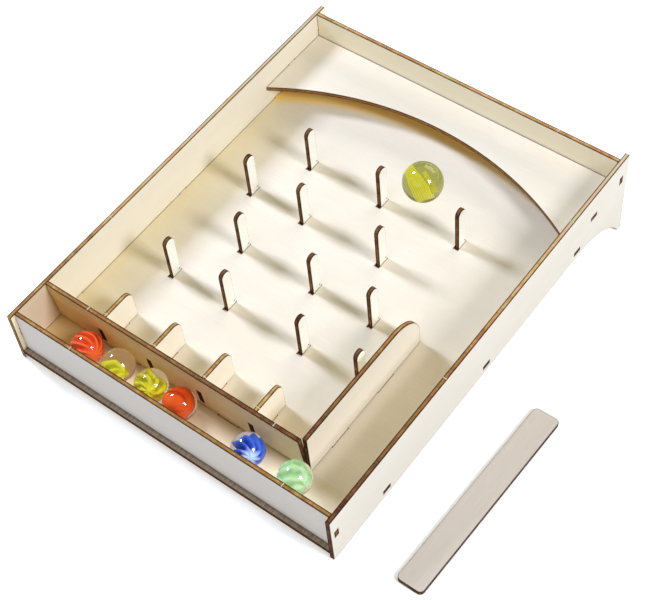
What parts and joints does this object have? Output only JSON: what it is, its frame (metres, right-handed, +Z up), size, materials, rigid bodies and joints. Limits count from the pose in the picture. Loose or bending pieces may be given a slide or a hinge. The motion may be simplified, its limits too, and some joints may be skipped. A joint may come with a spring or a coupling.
{
  "type": "pachinko machine",
  "caption": "Sloping table-top marble pachinko board of laser-cut plywood, with upright pins, scoring pockets, ball trough, launch lane, arc deflector, glass marbles and a loose launch stick.",
  "frame": {"origin": "on the table, centred under the bounding box of the machine and the stick beside it", "axes": "+X to the player's right, +Y from the player up the slope, +Z up"},
  "size_m": [0.1946, 0.2102, 0.0474],
  "materials": {
    "basswood": "bare laser-cut basswood plywood",
    "stick_basswood": "bare laser-cut basswood plywood",
    "glass_red": "polished glass with coloured swirls inside",
    "glass_yellow": "polished glass with coloured swirls inside",
    "glass_blue": "polished glass with coloured swirls inside",
    "glass_green": "polished glass with coloured swirls inside",
    "glass_olive": "polished glass with coloured swirls inside"
  },
  "bodies": {
    "root": {"playfield_board": "basswood", "left_side_panel": "basswood", "right_side_panel": "basswood", "front_panel": "basswood", "back_panel": "basswood", "trough_wall": "basswood", "lane_divider": "basswood", "pocket_divider_1": "basswood", "pocket_divider_2": "basswood", "pocket_divider_3": "basswood", "pocket_divider_4": "basswood", "pin_01": "basswood", "pin_02": "basswood", "pin_03": "basswood", "pin_04": "basswood", "pin_05": "basswood", "pin_06": "basswood", "pin_07": "basswood", "pin_08": "basswood", "pin_09": "basswood", "pin_10": "basswood", "pin_11": "basswood", "pin_12": "basswood", "pin_13": "basswood", "arc_plate": "basswood"},
    "trough_marble_1": {"trough_marble_1": "glass_red"},
    "trough_marble_2": {"trough_marble_2": "glass_yellow"},
    "trough_marble_3": {"trough_marble_3": "glass_yellow"},
    "trough_marble_4": {"trough_marble_4": "glass_red"},
    "trough_marble_5": {"trough_marble_5": "glass_blue"},
    "trough_marble_6": {"trough_marble_6": "glass_green"},
    "field_marble": {"field_marble": "glass_olive"},
    "launch_stick": {"launch_stick": "stick_basswood"}
  },
  "joints": [
    {"name": "marble_1_roll", "type": "slide", "parent": "root", "child": "trough_marble_1", "axis": [1, 0, 0], "range_m": [-0.017, 0.001]},
    {"name": "marble_2_roll", "type": "slide", "parent": "root", "child": "trough_marble_2", "axis": [1, 0, 0], "range_m": [-0.0007, 0.0022]},
    {"name": "marble_3_roll", "type": "slide", "parent": "root", "child": "trough_marble_3", "axis": [1, 0, 0], "range_m": [-0.0005, 0.00025]},
    {"name": "marble_4_roll", "type": "slide", "parent": "root", "child": "trough_marble_4", "axis": [1, 0, 0], "range_m": [-0.0002, 0.012]},
    {"name": "marble_5_roll", "type": "slide", "parent": "root", "child": "trough_marble_5", "axis": [1, 0, 0], "range_m": [-0.0084, 0.0039]},
    {"name": "marble_6_roll", "type": "slide", "parent": "root", "child": "trough_marble_6", "axis": [1, 0, 0], "range_m": [-0.0039, 0.0185]},
    {"name": "field_marble_roll", "type": "slide", "parent": "root", "child": "field_marble", "axis": [0, 0.9956, 0.0941], "range_m": [-0.027, 0.0165]},
    {"name": "launch_stick_push", "type": "slide", "parent": "root", "child": "launch_stick", "axis": [0, 1, 0], "range_m": [0, 0.07]}
  ]
}
